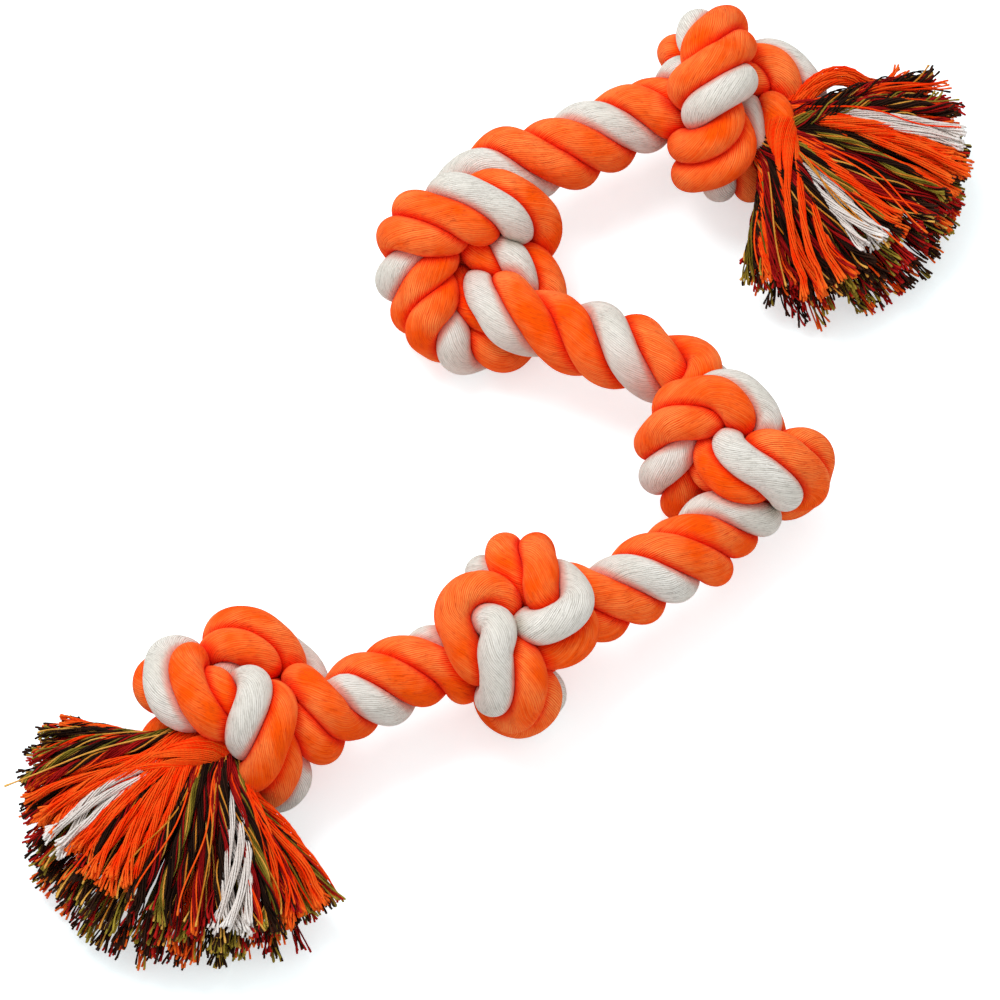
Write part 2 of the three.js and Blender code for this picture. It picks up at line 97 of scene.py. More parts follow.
# Painted shade darkens a crease within this reach of a touch, and painted orange bounce light tints white
# there
CREASE_REACH = 6.5 * MM
CREASE_POWER = 1.5
PAINTED_BOUNCE_REACH = 4 * MM
PAINTED_BOUNCE_START = 1.25
LINE_PASSES = 3
SKIN_PASSES = 2
# Half strands meet near the middle of a stretch and in the core of a knot, but
# not in the first and last quarter of the knot's strand
STRETCH_NEAR = 25 * MM
CORE_MARGIN_PARTS = 4

# The floor shows white of itself, but for a share that takes the shadow
FLOOR_Z = 0.0
FLOOR_DROP = 0.1 * MM
FLOOR_WIDTH = 6.0
# Its colour for all light that doesn't go straight to the camera
FLOOR_COLOUR = (0.8, 0.8, 0.8, 1)
FLOOR_GLOW = 0.52
FLOOR_SHADOW = (0.82, 0.97, 1.0, 1)

# One soft lamp, and an even light from all around that the camera sees as white
WORLD_LIGHT = 0.70
KEY_WATTS = 27.0
KEY_PLACE = (-0.7, 0.6, 2.2)
KEY_WIDTH = 1.1

# The camera looks down at the toy as the photograph does
VIEW_ELEVATION = math.radians(60)
VIEW_WIDTH = 510 * MM
VIEW_LENS = 400.0
VIEW_CLIP = (0.1, 20.0)
SENSOR = 36.0
# Its middle lies this far from the middle of the second free stretch
VIEW_FROM_STRETCH = np.array([-76 * MM, 44 * MM, 0])


def unit(vector):
    return vector / np.linalg.norm(vector, axis=-1, keepdims=True)


def length_along(line):
    return np.concatenate([[0], np.cumsum(np.linalg.norm(np.diff(line, axis=0), axis=1))])


# Centrelines, read back ring by ring from the solids of the frame. Corners within
# a micrometre are one, and those of the ring next to a tip have so many neighbours
WELD_SCALE = 1e6
TIP_RING_NEIGHBOURS = 5
CURVE_STEPS = 12


def levels_of(mesh, near=None):
    """Welded corners of a tube, and its rings from the tip that lies near a place."""
    places = np.array([v.co for v in mesh.vertices], float)
    keys = np.round(places * WELD_SCALE).astype(np.int64)
    _, first, welded = np.unique(keys, axis=0, return_index=True, return_inverse=True)
    welded = welded.reshape(-1)
    places = places[first]
    joined = [set() for _ in places]
    for polygon in mesh.polygons:
        corners = [welded[i] for i in polygon.vertices]
        for a, b in zip(corners, corners[1:] + corners[:1]):
            joined[a].add(b)
            joined[b].add(a)
    tips = [i for i, ring in enumerate(joined)
            if all(len(joined[j]) == TIP_RING_NEIGHBOURS for j in ring)]
    if near is not None:
        tips.sort(key=lambda i: np.linalg.norm(places[i] - near))
    seen = {tips[0]}
    level = [tips[0]]
    levels = []
    while level:
        levels.append(level)
        level = list({j for i in level for j in joined[i]} - seen)
        seen.update(level)
    return places, levels


def ring_centres(node):
    """The middle line of a strand's solid, without its rounded ends."""
    places, rings = levels_of(frame["nodes"][node].data)
    return np.array([places[ring].mean(axis=0) for ring in rings[2:-2]])


def evenly(line, step):
    """A smooth curve through the points of a line, cut in even steps."""
    before = np.vstack([2 * line[0] - line[1], line, 2 * line[-1] - line[-2]])
    fine = []
    for i in range(1, len(before) - 2):
        a, b, c, d = before[i - 1:i + 3]
        t = np.linspace(0, 1, CURVE_STEPS, endpoint=False)[:, None]
        fine.append(((2 * b) + (c - a) * t + (2 * a - 5 * b + 4 * c - d) * t ** 2
                     + (3 * b - a - 3 * c + d) * t ** 3) / 2)
    fine = np.vstack([*fine, line[-1:]])
    run = length_along(fine)
    at = np.linspace(0, run[-1], int(round(run[-1] / step)) + 1)
    return np.stack([np.interp(at, run, fine[:, k]) for k in range(3)], axis=1)


def smoothed(line, passes):
    """A line with its inner points drawn to the middle of their neighbours."""
    line = line.copy()
    for _ in range(passes):
        line[1:-1] = (line[:-2] + 2 * line[1:-1] + line[2:]) / 4
    return line


def joint_between(a, b):
    return next(j for j in frame["joints"] if {j["parent"], j["child"]} == {a, b})


def pivot(a, b):
    return np.array(joint_between(a, b)["pos_m"], float)


def knot_centre(k):
    return np.mean([ring_centres(f"knot_{k}_strand_{name}").mean(axis=0) for name in STRANDS], axis=0)


def whole_strand(name):
    """The line of one strand from tassel to tassel."""
    start = pivot("knot_1", "tassel_1")
    parts = []
    for k in range(1, KNOTS + 1):
        for part in [f"knot_{k}", f"stretch_{k}"][:2 if k < KNOTS else 1]:
            line = ring_centres(f"{part}_strand_{name}")
            if np.linalg.norm(line[0] - start) > np.linalg.norm(line[-1] - start):
                line = line[::-1]
            start = line[-1]
            parts.append(line)
    ends = np.vstack(parts)
    first = ends[0] + unit(ends[0] - ends[1]) * END_REACH
    last = ends[-1] + unit(ends[-1] - ends[-2]) * END_REACH
    return smoothed(evenly(np.vstack([first, ends, last]), RING_STEP), LINE_PASSES)


lines = {name: whole_strand(name) for name in STRANDS}


# The skin of each strand: round where it is free, flat where it presses on others
def carried_frames(line):
    """The direction of a line and two across it, which turn no more than they must."""
    tangents = unit(np.gradient(line, axis=0))
    normals = np.zeros_like(line)
    normal = unit(np.cross(tangents[0], UP))
    for i, tangent in enumerate(tangents):
        normal = unit(normal - tangent * normal.dot(tangent))
        normals[i] = normal
    return tangents, normals, np.cross(tangents, normals)


def skin(name):
    """The points of a strand's skin, and how much painted shade from a crease and painted orange bounce light
    each takes.
    """
    line = lines[name]
    tangents, normals, sides = carried_frames(line)
    run = np.arange(len(line)) * RING_STEP
    angles = 2 * math.pi * np.arange(RING_SIDES) / RING_SIDES
    spokes = normals[:, None] * np.cos(angles)[:, None] + sides[:, None] * np.sin(angles)[:, None]
    lumps = sum(np.sin(run[:, None] * wave + angles * turn + turn) for wave, turn in LUMPS)
    radius = STRAND_RADIUS * (1 + LUMP_SHARE * lumps)
    bend = np.gradient(tangents, axis=0) / RING_STEP
    curve = np.maximum(np.linalg.norm(bend, axis=1), TINY)[:, None]
    toward = np.einsum("isk,ik->is", spokes, bend / curve)
    limit = BEND_SHARE / curve / np.maximum(toward, LEAST_TOWARD)
    radius = np.minimum(radius, np.where(toward > 0, limit, NO_LIMIT))
    painted_bounce = np.zeros(spokes.shape[:2])
    painted_crease_shade = np.zeros(spokes.shape[:2])
    for other, far in lines.items():
        samples = far[::2]
        along = np.arange(len(far))[::2] * RING_STEP
        for i, centre in enumerate(line):
            away = samples - centre
            distance = np.linalg.norm(away, axis=1)
            close = distance < NEIGHBOUR_REACH
            if other == name:
                close &= np.abs(along - run[i]) > SAME_STRAND
            if not close.any():
                continue
            d = distance[close]
            facing = spokes[i] @ (away[close] / d[:, None]).T
            touch = (d / 2 - TOUCH_GAP) / np.maximum(facing, LEAST_FACING)
            nearest = np.where(facing > LEAST_FACING, touch, NO_LIMIT).min(axis=1)
            # Painted shade: the nearer a touch, the darker the crease
            near = np.clip(1 - (nearest - STRAND_RADIUS) / CREASE_REACH, 0, 1)
            painted_crease_shade[i] = np.maximum(painted_crease_shade[i], near ** CREASE_POWER)
            radius[i] = np.minimum(radius[i], nearest)
            # Painted orange bounce light: white near an orange strand is tinted
            if other != "white" and name == "white":
                bounce_share = np.clip(PAINTED_BOUNCE_START - (nearest - radius[i]) / PAINTED_BOUNCE_REACH, 0, 1)
                painted_bounce[i] = np.maximum(painted_bounce[i], bounce_share)
    left = np.minimum(run, run[-1] - run)
    radius *= (1 - END_TAPER * np.clip(1 - left / TAPER_LENGTH, 0, 1) ** TAPER_POWER)[:, None]
    for _ in range(SKIN_PASSES):
        radius[1:-1] = (radius[:-2] + 2 * radius[1:-1] + radius[2:]) / 4
        radius = (np.roll(radius, 1, axis=1) + 2 * radius + np.roll(radius, -1, axis=1)) / 4
    points = line[:, None] + spokes * radius[..., None]
    points[..., 2] = np.maximum(points[..., 2], FLOOR_Z)
    across = np.roll(points, -1, axis=1) - np.roll(points, 1, axis=1)
    along = np.gradient(points, axis=0)
    return {"points": points, "normals": unit(np.cross(across, along)), "run": run,
            "painted_bounce": painted_bounce, "painted_crease_shade": painted_crease_shade, "line": line}


skins = {name: skin(name) for name in STRANDS}


def tube_mesh(name, rings, v_of_ring, normals, attributes):
    """A closed tube from rings of points: UV is the share round and the run along."""
    count, sides = rings.shape[:2]
    verts = rings.reshape(-1, 3)
    grid = np.arange(count * sides).reshape(count, sides)
    a, b = grid[:-1], np.roll(grid[:-1], -1, axis=1)
    c, d = np.roll(grid[1:], -1, axis=1), grid[1:]
    faces = np.stack([a, b, c, d], axis=-1).reshape(-1, 4).tolist()
    faces += [grid[0][::-1].tolist(), grid[-1].tolist()]
    mesh = bpy.data.meshes.new(name)
    mesh.from_pydata(verts.tolist(), [], faces)
    uv = mesh.uv_layers.new(name="UVMap")
    u0 = np.tile(np.arange(sides) / sides, (count - 1, 1))
    u1 = u0 + 1 / sides
    v0 = np.repeat(v_of_ring[:-1, None], sides, axis=1)
    v1 = np.repeat(v_of_ring[1:, None], sides, axis=1)
    corners = np.stack([u0, v0, u1, v0, u1, v1, u0, v1], axis=-1).reshape(-1)
    caps = np.zeros(4 * sides)
    uv.data.foreach_set("uv", np.concatenate([corners, caps]).astype(np.float32))
    for key, values in attributes.items():
        layer = mesh.attributes.new(key, "FLOAT", "POINT")
        layer.data.foreach_set("value", values.reshape(-1).astype(np.float32))
    mesh.shade_smooth()
    mesh.normals_split_custom_set_from_vertices(normals.reshape(-1, 3).tolist())
    return mesh


def add(name, mesh, material):
    piece = bpy.data.objects.new(name, mesh)
    bpy.context.collection.objects.link(piece)
    mesh.materials.append(material)
    return piece


# Materials
class Shader:
    """A small helper that adds nodes and joins them."""

    def __init__(self, name):
        self.material = bpy.data.materials.new(name)
        self.material.use_nodes = True
        self.tree = self.material.node_tree
        self.surface = self.tree.nodes["Principled BSDF"]

    def node(self, kind, **settings):
        made = self.tree.nodes.new(kind)
        for key, value in settings.items():
            setattr(made, key, value)
        return made

    def join(self, value, socket):
        if isinstance(value, bpy.types.NodeSocket):
            self.tree.links.new(value, socket)
        else:
            socket.default_value = value

    def math(self, operation, a, b=None, c=None):
        made = self.node("ShaderNodeMath", operation=operation)
        for value, socket in zip((a, b, c), made.inputs):
            if value is not None:
                self.join(value, socket)
        return made.outputs[0]

    def line(self, value, slope, start):
        """The value times a slope, plus a start."""
        return self.math("MULTIPLY_ADD", value, slope, start)

    def mix(self, factor, a, b, blend="MIX"):
        made = self.node("ShaderNodeMix", data_type="RGBA", blend_type=blend)
        self.join(factor, made.inputs[0])
        self.join(a, made.inputs[6])
        self.join(b, made.inputs[7])
        return made.outputs[2]

    def clamp(self, value):
        made = self.node("ShaderNodeClamp")
        self.join(value, made.inputs[0])
        return made.outputs[0]

    def noise(self, vector, scale, detail, roughness=0.5):
        made = self.node("ShaderNodeTexNoise")
        self.join(vector, made.inputs["Vector"])
        made.inputs["Scale"].default_value = scale
        made.inputs["Detail"].default_value = detail
        made.inputs["Roughness"].default_value = roughness
        return made.outputs["Fac"]

    def combine(self, x, y, z=0.0):
        made = self.node("ShaderNodeCombineXYZ")
        for value, socket in zip((x, y, z), made.inputs):
            self.join(value, socket)
        return made.outputs[0]

    def uv(self):
        made = self.node("ShaderNodeSeparateXYZ")
        self.join(self.node("ShaderNodeUVMap", uv_map="UVMap").outputs[0], made.inputs[0])
        return made.outputs[0], made.outputs[1]

    def attribute(self, name):
        return self.node("ShaderNodeAttribute", attribute_name=name).outputs["Fac"]

    def bump(self, height, distance):
        made = self.node("ShaderNodeBump")
        made.inputs["Distance"].default_value = distance
        self.join(height, made.inputs["Height"])
        self.join(made.outputs[0], self.surface.inputs["Normal"])


def linear(r, g, b):
    """A colour on the scale to 255, as a shader's socket takes it."""
    def channel(c):
        c /= 255
        return c / 12.92 if c <= 0.04045 else ((c + 0.055) / 1.055) ** 2.4
    return (channel(r), channel(g), channel(b), 1.0)


# The cover of a strand: its yarns slant round it and sway a little
YARNS_ROUND = 48
YARN_ANGLE = math.radians(-38)
YARN_EDGE = 0.6
SWAY_SHARE = 0.05
# Noises drawn out along the yarns: scale across and along, detail and roughness
STREAK_NOISE = (7, 24, 2, 0.5)
HAIR_NOISE = (30, 120, 3, 0.65)
PIT_NOISE = (36, 360, 1, 0.5)
PRESENCE_NOISE = (10, 70, 2, 0.5)
# Noises in space: scale, detail and roughness
SWAY_NOISE = (60, 1, 0.5)
PATCH_NOISE = (42, 2, 0.5)
FUZZ_NOISE = (900, 3, 0.6)
# Slope and start of the pits, and how strongly the grooves between yarns show
PITS = (8.0, -4.9)
PRESENCE = 1.8
# How far a place takes a paler painted highlight, by patch and streak, and a darker painted shade, by groove,
# crease and pit
HIGHLIGHT_PATCH = 3.0
HIGHLIGHT_STREAK = (0.9, -1.55)
GROOVE_SHADE, CREASE_SHADE, PIT_SHADE = 1.6, 0.8, 0.5
# Slope and start of what each noise does to the light
LIGHT = {"streak": (0.22, 0.96), "hair": (0.5, 0.77), "pits": (-0.07, 1.02), "patch": (0.2, 0.91),
         "fuzz": (0.2, 0.91)}
# How patches vary the painted orange bounce light on white
PAINTED_BOUNCE_PATCH = (1.7, -0.15)
# Height of each in the relief
RELIEF_GROOVE, RELIEF_HAIR, RELIEF_STREAK, RELIEF_FUZZ, RELIEF_PITS = -0.8, 0.6, 0.6, 0.3, -0.35
RELIEF = 0.5 * MM


def strand_material(name, highlight, top, groove_shade, bounce_colour):
    s = Shader(name)
    u, v = s.uv()
    turns = math.tan(YARN_ANGLE) / (2 * math.pi * STRAND_RADIUS)
    place = s.node("ShaderNodeTexCoord").outputs["Object"]
    sway = s.math("MULTIPLY", s.math("SUBTRACT", s.noise(place, *SWAY_NOISE), 0.5), SWAY_SHARE)
    round_share = s.math("ADD", s.math("SUBTRACT", u, s.math("MULTIPLY", v, turns)), sway)
    angle = s.math("MULTIPLY", round_share, 2 * math.pi)
    cosine, sine = s.math("COSINE", angle), s.math("SINE", angle)

    def along_yarns(across, along, detail, roughness):
        spots = s.combine(s.math("MULTIPLY", cosine, across), s.math("MULTIPLY", sine, across),
                          s.math("MULTIPLY", v, along))
        return s.noise(spots, 1.0, detail, roughness)

    ridge = s.math("ABSOLUTE", s.math("SINE", s.math("MULTIPLY", round_share, math.pi * YARNS_ROUND)))
    ridge = s.math("POWER", ridge, YARN_EDGE)
    noises = {"streak": along_yarns(*STREAK_NOISE), "hair": along_yarns(*HAIR_NOISE),
              "pits": s.clamp(s.line(along_yarns(*PIT_NOISE), *PITS)),
              "patch": s.noise(place, *PATCH_NOISE), "fuzz": s.noise(place, *FUZZ_NOISE)}
    streak, hair, pits, patch, fuzz = noises.values()
    presence = s.math("MULTIPLY", along_yarns(*PRESENCE_NOISE), s.math("MULTIPLY", patch, PRESENCE))
    groove_share = s.math("MULTIPLY", s.math("SUBTRACT", 1.0, ridge), presence)
    # Painted highlight: a paler colour laid in patches and streaks by noise
    painted_highlight = s.line(patch, HIGHLIGHT_PATCH, s.line(streak, *HIGHLIGHT_STREAK))
    # Painted shade: a darker colour in the grooves between yarns, in creases where strands touch, and in pits
    painted_shade = s.line(groove_share, GROOVE_SHADE, s.math("MULTIPLY", s.attribute("painted_crease_shade"), CREASE_SHADE))
    painted_shade = s.line(pits, PIT_SHADE, painted_shade)
    colour = s.mix(s.clamp(painted_shade), s.mix(s.clamp(painted_highlight), top, highlight), groove_shade)
    light = 1.0
    for key, noise in noises.items():
        light = s.math("MULTIPLY", light, s.line(noise, *LIGHT[key]))
    colour = s.mix(1.0, colour, s.combine(light, light, light), "MULTIPLY")
    # Painted orange bounce light, tinting white near orange strands
    if bounce_colour is not None:
        amount = s.math("MULTIPLY", s.attribute("painted_bounce"), s.line(patch, *PAINTED_BOUNCE_PATCH))
        colour = s.mix(amount, colour, bounce_colour)
    s.join(colour, s.surface.inputs["Base Color"])
    s.surface.inputs["Roughness"].default_value = 0.92
    s.surface.inputs["Specular IOR Level"].default_value = 0.03
    s.surface.inputs["Sheen Weight"].default_value = 0.03
    s.surface.inputs["Sheen Roughness"].default_value = 0.5
    height = s.line(groove_share, RELIEF_GROOVE, s.math("MULTIPLY", hair, RELIEF_HAIR))
    height = s.math("ADD", height, s.line(streak, RELIEF_STREAK, s.math("MULTIPLY", fuzz, RELIEF_FUZZ)))
    s.bump(s.line(pits, RELIEF_PITS, height), RELIEF)
    return s.material


# A loose yarn: turns of its plies round and along, its hairs and patches, and
# slope and start of what each does to its tone
YARN_PLIES = (2.0, 420.0)
YARN_HAIRS = (9.0, 500.0)
YARN_HAIR_NOISE = (1.0, 2)
YARN_PATCH_NOISE = (120, 2)
TONE_SHADE = 0.6
TONE_HAIR = (0.5, -0.4)
TONE_RIDGE = 0.3
TONE_PATCH = (0.9, -0.45)
YARN_RELIEF = 0.12 * MM


def yarn_material(name, deep, pale):
    s = Shader(name)
    u, v = s.uv()
    lay = s.math("ADD", s.math("MULTIPLY", u, YARN_PLIES[0]), s.math("MULTIPLY", v, YARN_PLIES[1]))
    ridge = s.math("ABSOLUTE", s.math("SINE", s.math("MULTIPLY", lay, math.pi)))
    spots = s.combine(s.math("MULTIPLY", u, YARN_HAIRS[0]), s.math("MULTIPLY", v, YARN_HAIRS[1]))
    hair = s.noise(spots, *YARN_HAIR_NOISE)
    patch = s.noise(s.node("ShaderNodeTexCoord").outputs["Object"], *YARN_PATCH_NOISE)
    tone = s.line(s.attribute("shade"), TONE_SHADE, s.line(hair, *TONE_HAIR))
    # Paler on the ply ridges and darker between them, as painted shade
    tone = s.math("ADD", tone, s.line(ridge, TONE_RIDGE, s.line(patch, *TONE_PATCH)))
    s.join(s.mix(s.clamp(tone), deep, pale), s.surface.inputs["Base Color"])
    s.surface.inputs["Roughness"].default_value = 0.85
    s.surface.inputs["Specular IOR Level"].default_value = 0.03
    s.bump(s.math("ADD", ridge, hair), YARN_RELIEF)
    return s.material


# Each cotton has a paler colour for painted highlights, its own colour, and a darker one for painted shade;
# white also has a pink for painted orange bounce light
ORANGE = strand_material("orange_cotton", highlight=linear(255, 142, 70), top=linear(255, 92, 8),
                         groove_shade=linear(246, 40, 0), bounce_colour=None)
WHITE = strand_material("white_cotton", highlight=linear(234, 232, 226), top=linear(224, 221, 212),
                        groove_shade=linear(190, 182, 168), bounce_colour=linear(248, 172, 154))
# The deep and the pale tone of each yarn
YARN_COLOURS = {
    "orange": ((255, 48, 0), (255, 116, 38)),
    "white": ((226, 214, 206), (250, 246, 242)),
    "black": ((22, 14, 11), (62, 38, 28)),
    "red": ((116, 10, 14), (196, 34, 30)),
    "olive": ((92, 78, 22), (178, 156, 58)),
    "gold": ((196, 112, 24), (246, 192, 92)),
}
YARNS = {key: yarn_material(f"{key}_yarn", linear(*a), linear(*b)) for key, (a, b) in YARN_COLOURS.items()}


# The strands as pieces: each half strand goes from the core of a knot to the
# middle of the stretch next to it
def nearest_index(line, point, low, high):
    return low + int(np.argmin(np.linalg.norm(line[low:high] - point, axis=1)))


def middle_of_stretch(line, k):
    """The point of a strand in the middle plane of the stretch after this knot."""
    near, far = pivot(f"knot_{k}", f"stretch_{k}"), pivot(f"knot_{k + 1}", f"stretch_{k}")
    away = line - (near + far) / 2
    close = np.linalg.norm(away, axis=1) < STRETCH_NEAR
    return int(np.argmin(np.where(close, np.abs(away @ unit(far - near)), NO_LIMIT)))


def strand_pieces(name):
    made = skins[name]
    line = made["line"]
    middles = [middle_of_stretch(line, k) for k in range(1, KNOTS)]
    bounds = [0, *middles, len(line) - 1]
    for k in range(1, KNOTS + 1):
        low, high = bounds[k - 1], bounds[k]
        margin = (high - low) // CORE_MARGIN_PARTS
        core = nearest_index(line, knot_centre(k), low + margin, high - margin)
        for half, (a, b) in enumerate([(low, core), (core, high)]):
            rows = slice(a, b + 1)
            # These carry the painted bounce light and the painted crease shade to the materials
            attributes = {"painted_bounce": made["painted_bounce"][rows], "painted_crease_shade": made["painted_crease_shade"][rows]}
            mesh = tube_mesh(f"knot_{k}_{name}_half_{half + 1}", made["points"][rows], made["run"][rows],
                             made["normals"][rows], attributes)
            piece = add(mesh.name, mesh, WHITE if name == "white" else ORANGE)
            stretch = k - 1 + half
            if 1 <= stretch < KNOTS:
                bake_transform(piece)
            else:
                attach(piece, f"knot_{k}")
            nodes = [f"knot_{k}_strand_{name}"]
            if half == 1 and k < KNOTS:
                nodes.append(f"stretch_{k}_strand_{name}")
            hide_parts(*nodes)


for name in STRANDS:
    strand_pieces(name)


# Tassels: plies of yarns, twisted together in locks over the frame's own locks.
# A lock on top has its turn in degrees from the tassel's own direction, what it
# is made of, its reach as a share of the frame's locks, and its width in mm
TOP_LOCKS = {
    "tassel_1": (
        (-96, "black", 0.84, 8), (-89, "orange", 0.78, 6), (-83, "olive", 0.86, 7), (-76, "black", 0.87, 8),
        (-69, "red", 0.87, 7), (-62, "olive", 0.87, 8), (-55, "red", 0.86, 7), (-38, "orange", 0.84, 8),
        (-30, "white", 0.87, 11), (-22, "orange", 0.80, 8), (-16, "black", 0.86, 8), (-9, "orange", 0.82, 10),
        (0, "orange", 0.78, 12), (9, "black", 0.88, 8), (17, "olive", 0.90, 7), (24, "black", 0.93, 8),
        (32, "red", 0.94, 7), (40, "black", 0.93, 7), (47, "white", 0.95, 14), (54, "red", 0.95, 7),
        (60, "olive", 0.96, 7), (66, "orange", 0.98, 10), (86, "orange", 0.98, 10),
    ),
    "tassel_2": (
        (-80, "red", 0.64, 6), (-73, "black", 0.74, 8), (-66, "orange", 0.80, 8), (-58, "red", 0.88, 7),
        (-44, "black", 0.92, 8), (-37, "red", 0.90, 7), (-30, "black", 0.92, 8), (-21, "white", 0.80, 12),
        (-12, "olive", 0.86, 7), (-7, "orange", 0.80, 8), (0, "red", 0.92, 8), (8, "black", 0.93, 8),
        (16, "olive", 0.95, 7), (34, "orange", 0.98, 9), (42, "white", 0.97, 9), (49, "red", 0.94, 7),
        (56, "black", 0.98, 8), (63, "red", 0.98, 8),
    ),
}
# The strands' own ends, opened out: the strand, its turn, its level, its reach and its width in mm
OPENED = {
    "tassel_1": (
        ("orange_a", -47, 2.6, 0.89, 14), ("orange_b", 76, 1.9, 1.0, 13), ("white", -4, 1.0, 0.72, 9),
    ),
    "tassel_2": (
        ("orange_a", 26, 2.8, 1.02, 14), ("orange_b", -46, 2.95, 0.97, 15), ("white", 4, 0.9, 0.72, 9),
    ),
}
# Locks that leave the fan: their places in mm along, across and above the tassel
BENT = {
    "tassel_1": (),
    "tassel_2": (
        ("orange", 11, ((-26, 2, 46), (-24, 16, 50), (-23, 29, 51), (-19, 42, 49), (-12, 50, 46),
                        (-4, 53, 40), (3, 60, 33), (6, 71, 27), (11, 84, 20))),
        ("black", 11, ((-28, 0, 50), (-17, 10, 56), (-10, 24, 56), (-3, 41, 51), (5, 58, 43),
                       (12, 72, 35), (19, 87, 27))),
        ("olive", 11, ((-28, -4, 52), (-11, 8, 59), (-2, 27, 56), (9, 45, 48), (20, 62, 39), (30, 76, 29))),
    ),
}
# The reach of the hidden locks, by turn
HIDDEN_REACH = {
    "tassel_1": ((-110, -60, -35, 110), (0.84, 0.85, 0.95, 1.0)),
    "tassel_2": ((-85, -50, 110), (0.72, 0.97, 1.0)),
}
# The three plies of a dark lock: a ply has its three yarns twice, and the first two once more
DARK_PLIES = {
    "black": (("black", "black", "gold"), ("black", "black", "black"), ("red", "red", "black")),
    "red": (("red", "red", "red"), ("black", "black", "gold"), ("red", "orange", "red")),
    "olive": (("olive", "olive", "gold"), ("black", "black", "black"), ("olive", "black", "red")),
}
# A white lock comes up from below by this much, by its turn, and has risen by this share
WHITE_DIP = {-30: 5 * MM, 47: 8 * MM, -21: 9 * MM, 42: 9 * MM}
WHITE_RISE = 0.5

# The frame's own locks: their number in each row, from the floor up, and the
# shares of their length at which a line between them is found
LOCKS_IN_ROW = (3, 5, 5, 3)
FAN_SHARES = (0.34, 0.56, 0.78, 1.0)
# The fan opens about a centre in the knot and goes some degrees past its locks
FAN_CENTRE = 40 * MM
FAN_EXCESS = 8
FAN_BOW = 4 * MM
PAST_ROW_SHARE = 0.8
LEVEL_STEPS = 31
WIDEST_LEVEL = 1.0
# Where the locks leave the knot, and two places inside it: how far back, and
# the share of the neck's place across and up
NECK_HALF = 30 * MM
NECK_DIP = 13 * MM
NECK_BACK = (34 * MM, 18 * MM)
NECK_SHARES = ((0.35, 0.4), (0.75, 0.85))

# A yarn's tube: rings at these shares of its length, closer towards its tip,
# which swells and turns paler
YARN_RADIUS = 0.46 * MM
YARN_RINGS = 26
YARN_SIDES = 5
RING_POWER = 1.35
SHARES = 1 - (1 - np.linspace(0, 1, YARN_RINGS)) ** RING_POWER
TIP_SWELL = 1.4
TIP_SHAPE = ((0, 0.965, 0.985, 1), (1, 1, TIP_SWELL, TIP_SWELL * 0.9))
TIP_PALER = 1.0
PALE_FROM = 0.93
# How far a yarn strays and curls from its ply, across and up, and how unevenly it is cut
YARN_WANDER = (0.28 * MM, 0.2 * MM)
YARN_CURL = (0.7 * MM, 0.5 * MM)
CURL_POWER = 7
CUT_RANGE = (-2.4 * MM, 1.2 * MM)
CUT_POWER = 3

# A ply is pinched before its end and frays beyond; its last yarn runs in its middle
PLY_RADIUS = 1.5 * MM
PLY_WIDTH = 3.1 * MM
PLY_CURL = (2.2 * MM, 1.2 * MM)
PLY_TURNS = (1.6, 2.6)
PLY_WANDER = (0.7 * MM, 0.4 * MM)
PLY_REACH = (0.93, 1.0)
MIDDLE_YARN = 0.2
PINCH = 0.14
PINCH_LENGTH = 0.06
FRAY_FROM = 0.86
FRAY_POWER = 1.6
FRAY_RANGE = (0.1, 1.2)

# Locks: their widths by share of their length, heights to width, and turns. A flat
# one of orange or white has plies side by side, a dark one three round each other
LOCK_WANDER = 1.5 * MM
FLAT_KINDS = ("orange", "white")
FLAT_WIDTHS = ((0, 0.3, 0.6, 0.85, 1), (0.6, 0.85, 1.0, 1.2, 1.7))
FLAT_INSET = 0.7
FLAT_HEIGHT = 0.42
FLAT_TURNS = (0.5, 0.9)
FLAT_YARNS = 9
DARK_WIDTHS = ((0, 0.6, 0.85, 1), (0.95, 1.0, 1.15, 1.9))
DARK_WIDTH_SHARE = 0.21
DARK_HEIGHT = 0.9
DARK_TURNS = (1.9, 2.8)
DARK_FULL_WIDTH = 8.6 * MM
LEAST_PLIES = 3
LEAST_HEIGHT = 1.1 * MM

# Strand ends that open: their last places on the strand, how soon they are open,
# and the ring of their yarns in shares of the strand's radius, by millimetres
OPEN_FROM = (24 * MM, 16 * MM, 8 * MM, 0)
OPEN_OVER = 34 * MM
OPEN_TURNS = 0.6
OPEN_PLIES = 6
OPEN_YARNS = 8
OPEN_WIDTHS = ((0, 0.5, 0.85, 1), (0.9, 1.0, 1.25, 1.8))
OPEN_HEIGHT = 0.4
OPEN_WANDER = (0.9 * MM, 0.5 * MM)
OPEN_CURL = 2.4 * MM
OPEN_TWISTS = (1.0, 1.5, 2.0)
OPEN_SPREAD = 0.8
OPEN_FRAY_RANGE = (0.1, 1.3)
OPEN_CUT = (0.975, 1.0)
RING_AT = (0, 9, 24, 40)
RING_START, RING_NEXT, RING_LATER = 0.93, (0.9, 0.98), (0.82, 0.6)

# Hidden locks fill the fan at these levels and every so many degrees
HIDDEN_LEVELS = (0.1, 0.8, 1.5, 2.2)
HIDDEN_STEP = 5.2
HIDDEN_MIX = ("black", "red", "olive", "black", "orange", "red", "olive", "black")
HIDDEN_OTHERS = ("black", "gold", "olive", "red", "orange")
HIDDEN_TURN = (-3, 3)
HIDDEN_LENGTH = (0.92, 1.02)
HIDDEN_LEVEL = (-0.1, 0.3)
HIDDEN_WANDER = 1.6 * MM
HIDDEN_TURNS = (1.0, 2.2)
HIDDEN_START, HIDDEN_SWELL = 0.95, 0.3
# How many levels a lock on top is sunk, unless it is white
SUNK_RANGE = (0.05, 0.35)

